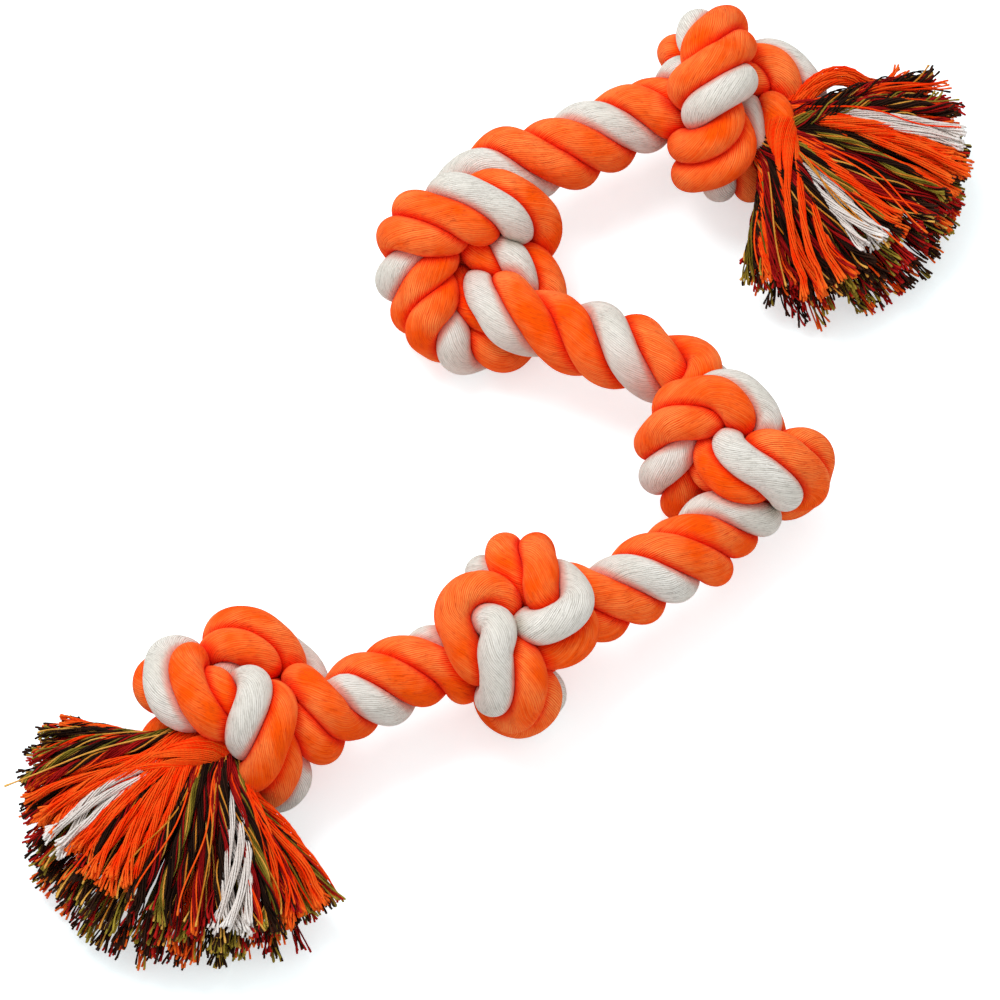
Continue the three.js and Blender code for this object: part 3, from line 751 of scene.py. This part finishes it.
# Strays lie beside a lock on top
STRAYS = 9
STRAY_MIX = ("orange", "orange", "gold")
STRAY_TURN = (-5, 5)
STRAY_LENGTH = (0.75, 0.95)
STRAY_WANDER = 4 * MM
STRAY_RISE = 3 * MM
SEED = 40


def tip_fray():
    """How far a ply has frayed, by share of its length."""
    return np.clip((SHARES - FRAY_FROM) / (1 - FRAY_FROM), 0, 1) ** FRAY_POWER


def through(points, shares):
    """The places at these shares of the length of a smooth line through the points."""
    line = evenly(points, 1 * MM)
    at = shares * (len(line) - 1)
    return np.stack([np.interp(at, np.arange(len(line)), line[:, k]) for k in range(3)], axis=1)


class Fan:
    """The lines of a tassel's locks, and any line that lies between them."""

    def __init__(self, knot, body):
        self.place = pivot(knot, body)
        locks = []
        for name in sorted(n for n in frame["nodes"] if n.startswith(body)):
            places, rings = levels_of(frame["nodes"][name].data, self.place)
            centres = np.array([places[ring].mean(axis=0) for ring in rings[2:-1]])
            locks.append(through(centres, np.array([0, *FAN_SHARES])))
        self.outward = unit(sum(lock[1] - lock[0] for lock in locks) * [1, 1, 0])
        self.side = np.cross(UP, self.outward)
        self.rows = []
        for count in LOCKS_IN_ROW:
            self.rows.append([self.polar(lock) for lock in locks[:count]])
            locks = locks[count:]

    def polar(self, line):
        """A line's last turn in degrees, and its radius, angle and height about a centre in the knot."""
        x, y = (line - self.place) @ self.outward, (line - self.place) @ self.side
        turn = math.degrees(math.atan2(y[-1], x[-1]))
        return turn, np.stack([np.hypot(x + FAN_CENTRE, y), np.arctan2(y, x + FAN_CENTRE), line[:, 2]])

    def limits(self, level):
        """The turns between which a level of the fan has locks."""
        ends = [[row[0][0], row[-1][0]] for row in self.rows]
        low, high = [np.interp(level, range(len(ends)), [end[k] for end in ends]) for k in (0, 1)]
        return low - FAN_EXCESS, high + FAN_EXCESS

    def top_level(self, turn):
        """The highest level of the fan that has locks at this turn."""
        for level in np.linspace(len(self.rows) - 1, 0, LEVEL_STEPS):
            low, high = self.limits(level)
            if low <= turn <= high:
                return level
        return WIDEST_LEVEL

    def row_line(self, row, turn):
        """The line at this turn between the locks of a row, or fanned on past its last."""
        turns = [turn_there for turn_there, _ in row]
        held = min(max(turn, turns[0]), turns[-1])
        at = np.interp(held, turns, range(len(row)))
        j = min(int(at), len(row) - 2)
        line = row[j][1] * (1 - (at - j)) + row[j + 1][1] * (at - j)
        line[1] += math.radians(turn - held) * PAST_ROW_SHARE * np.array([0, *FAN_SHARES])
        return line

    def guide(self, level, turn, reach, start=None):
        """The middle line of a lock, from inside the knot to its tip."""
        low = min(int(level), len(self.rows) - 2)
        share = level - low
        lower, upper = [self.row_line(row, turn) for row in self.rows[low:low + 2]]
        radius, angle, z = lower * (1 - share) + upper * share
        lean = math.sin(math.radians(max(-90, min(turn, 90))))
        neck = np.array([-NECK_DIP * lean ** 2, NECK_HALF * lean, z[0]])
        tip = np.array([radius[-1] * math.cos(angle[-1]) - FAN_CENTRE, radius[-1] * math.sin(angle[-1])])
        shares = np.array(FAN_SHARES)
        across = neck[:2] + (tip - neck[:2]) * shares[:, None]
        across[:, 1] += FAN_BOW * lean * np.sin(math.pi * shares)
        fan = np.column_stack([across, z[1:]])
        if start is None:
            middle = self.place[2]
            start = [[-back, neck[1] * side, middle + (z[0] - middle) * rise]
                     for back, (side, rise) in zip(NECK_BACK, NECK_SHARES)]
            start.append(neck)
        else:
            fan = fan[1:]
        return self.route(np.vstack([start, fan]), reach, NECK_BACK[0])

    def route(self, points, reach=1.0, hidden=0.0):
        """A smooth line through places given along, across and above the tassel, cut to its reach."""
        whole = through(np.array(points), np.linspace(0, 1, 4 * YARN_RINGS))
        run = length_along(whole)
        return self.laid(whole, SHARES * (hidden + reach * (run[-1] - hidden)), run)

    def laid(self, whole, at, run):
        """The places in the frame at these lengths of a line, straight on past its end."""
        places = np.stack([np.interp(at, run, whole[:, k]) for k in range(3)], axis=1)
        beyond = np.maximum(at - run[-1], 0)
        x, y, z = (places + np.outer(beyond, unit(whole[-1] - whole[-2]))).T
        base = self.place * [1, 1, 0]
        return base + np.outer(x, self.outward) + np.outer(y, self.side) + np.outer(z, UP)


def axes_of(line):
    tangents = unit(np.gradient(line, axis=0))
    side = unit(np.cross(tangents, UP))
    return side, np.cross(side, tangents)


def wander(chance, size):
    """A slow random wave that grows along a line."""
    waves = [(chance.uniform(-1, 1), chance.uniform(4, 11), chance.uniform(0, 6)) for _ in range(2)]
    return size * SHARES * sum(height * np.sin(SHARES * speed + phase) for height, speed, phase in waves)


def lay_ply(tubes, line, colours, radius, turns, chance):
    """Yarns twisted round a line, pinched before their ends and parted there as a tuft."""
    side, high = axes_of(line)
    phase = chance.uniform(0, 2 * math.pi)
    pinch = 1 - PINCH * np.exp(-((SHARES - FRAY_FROM) / PINCH_LENGTH) ** 2)
    fray = tip_fray()
    curl = SHARES ** CURL_POWER
    curl_side, curl_high = chance.gauss(0, PLY_CURL[0]), chance.gauss(0, PLY_CURL[1])
    tangents = unit(np.gradient(line, axis=0))
    for i, colour in enumerate(colours):
        size = radius * pinch * (1 + fray * chance.uniform(*FRAY_RANGE))
        if i == len(colours) - 1:
            size = size * MIDDLE_YARN
        angle = phase + 2 * math.pi * (i / (len(colours) - 1) + turns * SHARES)
        across = size * np.cos(angle) + wander(chance, YARN_WANDER[0])
        across = across + curl * (curl_side + chance.gauss(0, YARN_CURL[0]))
        above = size * np.sin(angle) + wander(chance, YARN_WANDER[1])
        above = above + curl * (curl_high + chance.gauss(0, YARN_CURL[1]))
        yarn = line + side * across[:, None] + high * above[:, None]
        yarn = yarn + tangents * (chance.uniform(*CUT_RANGE) * SHARES ** CUT_POWER)[:, None]
        yarn[:, 2] = np.maximum(yarn[:, 2], YARN_RADIUS * TIP_SWELL)
        tubes[colour].append((yarn, chance.random()))


def lay_lock(tubes, guide, kind, width, chance):
    """A lock of one colour is a flat rope of plies; a dark one has three plies of mixed yarns."""
    side, high = axes_of(guide)
    guide = guide + side * wander(chance, LOCK_WANDER)[:, None]
    phase = chance.uniform(0, 2 * math.pi)
    if kind in FLAT_KINDS:
        half = (width / 2 - PLY_RADIUS * FLAT_INSET) * np.interp(SHARES, *FLAT_WIDTHS)
        turns = chance.choice((-1, 1)) * chance.uniform(*FLAT_TURNS)
        mixes = [(kind,) * FLAT_YARNS] * max(LEAST_PLIES, round(width / PLY_WIDTH) + 1)
        flat, radius = FLAT_HEIGHT, PLY_RADIUS
    else:
        half = width * DARK_WIDTH_SHARE * np.interp(SHARES, *DARK_WIDTHS)
        turns = chance.uniform(*DARK_TURNS)
        mixes = [ply * 2 + ply[:2] for ply in DARK_PLIES[kind]]
        flat, radius = DARK_HEIGHT, PLY_RADIUS * width / DARK_FULL_WIDTH
    height = np.maximum(half * flat, LEAST_HEIGHT)
    for i, mix in enumerate(mixes):
        angle = phase + 2 * math.pi * (i / len(mixes) + turns * SHARES)
        line = guide + side * (half * np.cos(angle) + wander(chance, PLY_WANDER[0]))[:, None]
        line = line + high * (height * np.sin(angle) + wander(chance, PLY_WANDER[1]))[:, None]
        line = shortened(line, chance.uniform(*PLY_REACH))
        lay_ply(tubes, line, mix, radius, chance.uniform(*PLY_TURNS), chance)


def lay_opened(tubes, fan, strand, turn, level, reach, width, chance):
    """The end of a strand: its skin parts into yarns, which gather in plies and fan out."""
    line = lines[strand]
    if np.linalg.norm(line[0] - fan.place) < np.linalg.norm(line[-1] - fan.place):
        line = line[::-1]
    steps = [round(back / RING_STEP) for back in OPEN_FROM]
    near = line[[-1 - step for step in steps]] - fan.place
    start = np.column_stack([near @ fan.outward, near @ fan.side, near[:, 2] + fan.place[2]])
    guide = fan.guide(level, turn, reach, start)
    side, high = axes_of(guide)
    run = length_along(guide)
    opened = np.clip((run - OPEN_FROM[0]) / OPEN_OVER, 0, 1)
    opened = opened * opened * (3 - 2 * opened)
    lock = width * MM / 2 * np.interp(SHARES, *OPEN_WIDTHS)
    phase = chance.uniform(0, 2 * math.pi)
    spin = -2 * math.pi * OPEN_TURNS * (1 - np.exp(-run / OPEN_OVER))
    for ply in range(OPEN_PLIES):
        centre = phase + 2 * math.pi * ply / OPEN_PLIES + spin
        sway, rise = wander(chance, OPEN_WANDER[0]), wander(chance, OPEN_WANDER[1])
        cut = chance.uniform(*PLY_REACH)
        curl, twist = chance.gauss(0, OPEN_CURL), chance.choice(OPEN_TWISTS)
        for i in range(OPEN_YARNS):
            share = (i + 0.5) / OPEN_YARNS
            ring_shares = (RING_START, chance.uniform(*RING_NEXT), *RING_LATER)
            ring = STRAND_RADIUS * np.interp(run / MM, RING_AT, ring_shares)
            angle = centre + 2 * math.pi * (share - 0.5) / OPEN_PLIES
            own = 2 * math.pi * (share + twist * SHARES)
            spread = PLY_RADIUS * (1 + OPEN_SPREAD * tip_fray() * chance.uniform(*OPEN_FRAY_RANGE))
            ply_across = lock * np.cos(centre) + spread * np.cos(own) + sway
            ply_above = lock * OPEN_HEIGHT * np.sin(centre) + spread * np.sin(own) + rise
            across = (1 - opened) * ring * np.cos(angle) + opened * ply_across
            above = (1 - opened) * ring * np.sin(angle) + opened * ply_above
            across = across + wander(chance, YARN_WANDER[0])
            across = across + SHARES ** CURL_POWER * (curl + chance.gauss(0, YARN_CURL[0]))
            above = above + wander(chance, YARN_WANDER[1])
            yarn = guide + side * across[:, None] + high * above[:, None]
            yarn = shortened(yarn, cut * chance.uniform(*OPEN_CUT))
            yarn[:, 2] = np.maximum(yarn[:, 2], YARN_RADIUS * TIP_SWELL)
            tubes[strand.split("_")[0]].append((yarn, chance.random()))


def shortened(line, share):
    """A line cut to a share of its length, with as many points."""
    at = SHARES * share
    return np.stack([np.interp(at, SHARES, line[:, k]) for k in range(3)], axis=1)


def lay_hidden(tubes, fan, reaches, chance):
    """Plies of mixed yarns that fill the fan under the locks on top."""
    for level in HIDDEN_LEVELS:
        low, high = fan.limits(level)
        for turn in np.arange(low, high, HIDDEN_STEP):
            turn += chance.uniform(*HIDDEN_TURN)
            kind = chance.choice(HIDDEN_MIX)
            reach = np.interp(turn, *reaches) * chance.uniform(*HIDDEN_LENGTH)
            guide = fan.guide(level + chance.uniform(*HIDDEN_LEVEL), turn, reach)
            guide = guide + axes_of(guide)[0] * wander(chance, HIDDEN_WANDER)[:, None]
            size = PLY_RADIUS * (HIDDEN_START + HIDDEN_SWELL * SHARES)
            other = chance.choice(HIDDEN_OTHERS)
            mix = [kind, kind, other, kind, "black", kind, other, kind]
            lay_ply(tubes, guide, mix, size, chance.uniform(*HIDDEN_TURNS), chance)


def lay_strays(tubes, fan, turns, chance):
    """Single yarns that lie loose on top of the fan."""
    for _ in range(STRAYS):
        turn = chance.choice(turns)
        own_turn, reach = turn + chance.uniform(*STRAY_TURN), chance.uniform(*STRAY_LENGTH)
        guide = fan.guide(fan.top_level(turn), own_turn, reach)
        side, high = axes_of(guide)
        guide = guide + side * wander(chance, STRAY_WANDER)[:, None] + high * (STRAY_RISE * SHARES)[:, None]
        tubes[chance.choice(STRAY_MIX)].append((guide, chance.random()))


def tassel(index, knot, body):
    chance = random.Random(SEED + index)
    fan = Fan(knot, body)
    tubes = {key: [] for key in YARNS}
    for turn, kind, reach, width in TOP_LOCKS[body]:
        sunk = 0 if kind == "white" else chance.uniform(*SUNK_RANGE)
        guide = fan.guide(max(fan.top_level(turn) - sunk, 0), turn, reach)
        if kind == "white":
            guide[:, 2] -= WHITE_DIP[turn] * np.exp(-(SHARES / WHITE_RISE) ** 2)
        lay_lock(tubes, guide, kind, width * MM, chance)
    for strand, turn, level, reach, width in OPENED[body]:
        lay_opened(tubes, fan, strand, turn, level, reach, width, chance)
    for kind, width, places in BENT[body]:
        lay_lock(tubes, fan.route(np.array(places) * MM), kind, width * MM, chance)
    lay_hidden(tubes, fan, HIDDEN_REACH[body], chance)
    lay_strays(tubes, fan, [lock[0] for lock in TOP_LOCKS[body]], chance)
    for key, yarns in tubes.items():
        yarn_piece(f"{body}_{key}_yarns", yarns, YARNS[key], body)


def yarn_piece(name, yarns, material, body):
    """All yarns of one colour of a tassel as one piece of closed tubes."""
    verts, faces, uvs, shades = [], [], [], []
    angles = 2 * math.pi * np.arange(YARN_SIDES) / YARN_SIDES
    base_grid = np.arange(YARN_RINGS * YARN_SIDES).reshape(YARN_RINGS, YARN_SIDES)
    u0 = np.tile(np.arange(YARN_SIDES) / YARN_SIDES, (YARN_RINGS - 1, 1))
    u1 = u0 + 1 / YARN_SIDES
    radius = YARN_RADIUS * np.interp(SHARES, *TIP_SHAPE)
    paler = np.repeat(TIP_PALER * np.interp(SHARES, [0, PALE_FROM, 1], [0, 0, 1]), YARN_SIDES)
    for line, shade in yarns:
        side, high = axes_of(line)
        spokes = side[:, None] * np.cos(angles)[:, None] + high[:, None] * np.sin(angles)[:, None]
        rings = line[:, None] + radius[:, None, None] * spokes
        grid = base_grid + len(verts) * YARN_RINGS * YARN_SIDES
        verts.append(rings.reshape(-1, 3))
        a, b = grid[:-1], np.roll(grid[:-1], -1, axis=1)
        c, d = np.roll(grid[1:], -1, axis=1), grid[1:]
        faces += np.stack([b, a, d, c], axis=-1).reshape(-1, 4).tolist()
        faces += [grid[0].tolist(), grid[-1][::-1].tolist()]
        run = length_along(line)
        v0 = np.repeat(run[:-1, None], YARN_SIDES, axis=1)
        v1 = np.repeat(run[1:, None], YARN_SIDES, axis=1)
        uvs.append(np.stack([u1, v0, u0, v0, u0, v1, u1, v1], axis=-1).reshape(-1))
        uvs.append(np.zeros(4 * YARN_SIDES))
        shades.append(shade + paler)
    mesh = bpy.data.meshes.new(name)
    mesh.from_pydata(np.vstack(verts).tolist(), [], faces)
    mesh.uv_layers.new(name="UVMap").data.foreach_set("uv", np.concatenate(uvs).astype(np.float32))
    layer = mesh.attributes.new("shade", "FLOAT", "POINT")
    layer.data.foreach_set("value", np.concatenate(shades).astype(np.float32))
    mesh.shade_smooth()
    piece = add(name, mesh, material)
    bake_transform(piece)
    kind = name.split("_")[2]
    slot = {"orange": "orange_cotton", "white": "white_cotton"}.get(kind, "dark_core_yarn")
    nodes = [n["node"] for n in frame["record"]["subparts"]
             if n["node"].startswith(body) and n["material_slot"] == slot]
    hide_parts(*nodes)


tassel(0, "knot_1", "tassel_1")
tassel(1, "knot_5", "tassel_2")


# Floor, light and camera
def floor():
    bpy.ops.mesh.primitive_plane_add(size=FLOOR_WIDTH, location=(0, 0, FLOOR_Z - FLOOR_DROP))
    plane = bpy.context.object
    plane.name = "floor"
    material = bpy.data.materials.new("floor")
    material.use_nodes = True
    tree = material.node_tree
    surface = tree.nodes["Principled BSDF"]
    surface.inputs["Base Color"].default_value = FLOOR_COLOUR
    surface.inputs["Roughness"].default_value = 1.0
    surface.inputs["Specular IOR Level"].default_value = 0.0
    glow = tree.nodes.new("ShaderNodeEmission")
    glow.inputs["Strength"].default_value = FLOOR_GLOW
    pale = tree.nodes.new("ShaderNodeBsdfDiffuse")
    pale.inputs["Color"].default_value = FLOOR_SHADOW
    both = tree.nodes.new("ShaderNodeAddShader")
    tree.links.new(glow.outputs[0], both.inputs[0])
    tree.links.new(pale.outputs[0], both.inputs[1])
    seen = tree.nodes.new("ShaderNodeMixShader")
    rays = tree.nodes.new("ShaderNodeLightPath")
    tree.links.new(rays.outputs["Is Camera Ray"], seen.inputs[0])
    tree.links.new(surface.outputs[0], seen.inputs[1])
    tree.links.new(both.outputs[0], seen.inputs[2])
    tree.links.new(seen.outputs[0], tree.nodes["Material Output"].inputs["Surface"])
    plane.data.materials.append(material)


def lamp(name, place, width, watts):
    """A square lamp that points at the middle of the frame."""
    light = bpy.data.lights.new(name, "AREA")
    light.size = width
    light.energy = watts
    holder = bpy.data.objects.new(name, light)
    bpy.context.collection.objects.link(holder)
    holder.location = place
    holder.rotation_euler = (-Vector(place)).to_track_quat("-Z", "Y").to_euler()


def lights():
    world = bpy.data.worlds.new("studio")
    bpy.context.scene.world = world
    world.use_nodes = True
    tree = world.node_tree
    background = tree.nodes["Background"]
    ray = tree.nodes.new("ShaderNodeLightPath").outputs["Is Camera Ray"]
    strength = tree.nodes.new("ShaderNodeMath")
    strength.operation = "MULTIPLY_ADD"
    tree.links.new(ray, strength.inputs[0])
    strength.inputs[1].default_value = 1 - WORLD_LIGHT
    strength.inputs[2].default_value = WORLD_LIGHT
    background.inputs["Color"].default_value = (1, 1, 1, 1)
    tree.links.new(strength.outputs[0], background.inputs["Strength"])
    lamp("key", KEY_PLACE, KEY_WIDTH, KEY_WATTS)


def camera():
    lens = bpy.data.cameras.new("camera")
    holder = bpy.data.objects.new("camera", lens)
    bpy.context.collection.objects.link(holder)
    lens.lens = VIEW_LENS
    lens.sensor_width = SENSOR
    distance = VIEW_WIDTH * VIEW_LENS / SENSOR
    target = (pivot("knot_2", "stretch_2") + pivot("knot_3", "stretch_2")) / 2 + VIEW_FROM_STRETCH
    back = np.array([0.0, -math.cos(VIEW_ELEVATION), math.sin(VIEW_ELEVATION)])
    holder.location = target + back * distance
    holder.rotation_euler = (math.pi / 2 - VIEW_ELEVATION, 0, 0)
    lens.clip_start, lens.clip_end = VIEW_CLIP
    bpy.context.scene.camera = holder


floor()
lights()
camera()
bpy.context.scene.view_settings.view_transform = "Standard"
